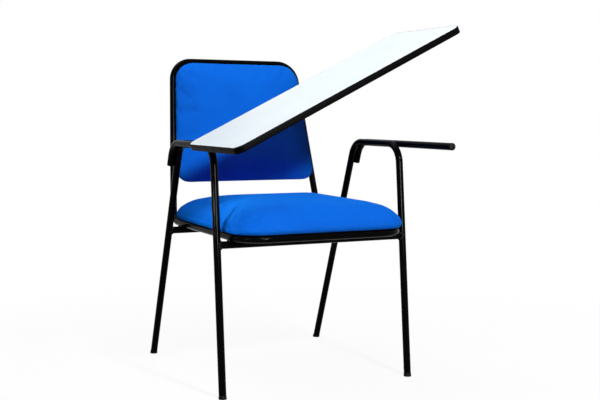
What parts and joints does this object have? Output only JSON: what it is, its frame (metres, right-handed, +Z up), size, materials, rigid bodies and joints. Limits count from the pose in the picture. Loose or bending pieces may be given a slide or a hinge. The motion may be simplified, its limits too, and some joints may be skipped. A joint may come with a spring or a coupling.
{
  "type": "tablet arm chair",
  "caption": "Bent steel tube study chair with open arms, padded seat and back, and a writing tablet that folds up about a bar beside the arm.",
  "frame": {"origin": "middle of the whole chair's box, on the floor", "axes": "+Z up, -Y towards the front of the chair, -X towards the sitter's right, where the tablet is hinged"},
  "size_m": [0.631, 0.826, 0.914],
  "materials": {
    "black_paint": "gloss powder coat",
    "black_plastic": "satin moulded plastic",
    "blue_fabric": "close woven upholstery",
    "plywood": "bare sanded plywood",
    "particle_board": "pressed board",
    "white_laminate": "smooth laminate",
    "edge_band": "satin edge band",
    "screw_steel": "zinc plated"
  },
  "bodies": {
    "frame": {"side_frame_right": "black_paint", "side_frame_left": "black_paint", "tablet_pivot_bar": "black_paint", "tablet_rest_bar": "black_paint", "front_cross_rail": "black_paint", "rear_cross_rail": "black_paint", "seat_back_loop": "black_paint", "seat_tabs": "black_paint", "back_tabs": "black_paint", "foot_plugs": "black_plastic", "bar_plugs": "black_plastic", "seat_board": "plywood", "back_board": "plywood", "seat_cushion": "blue_fabric", "back_cushion": "blue_fabric", "seat_screws": "screw_steel", "back_screws": "screw_steel"},
    "tablet": {"tablet_core": "particle_board", "tablet_laminate": "white_laminate", "tablet_edge_band": "edge_band", "saddle_strap_front": "black_paint", "saddle_strap_rear": "black_paint", "strap_screws": "screw_steel"}
  },
  "joints": [
    {"name": "tablet_hinge", "type": "hinge", "parent": "frame", "child": "tablet", "pos_m": [-0.2656, -0.22591, 0.62], "axis": [0, -1, 0], "range_deg": [-26.5, 94]}
  ]
}
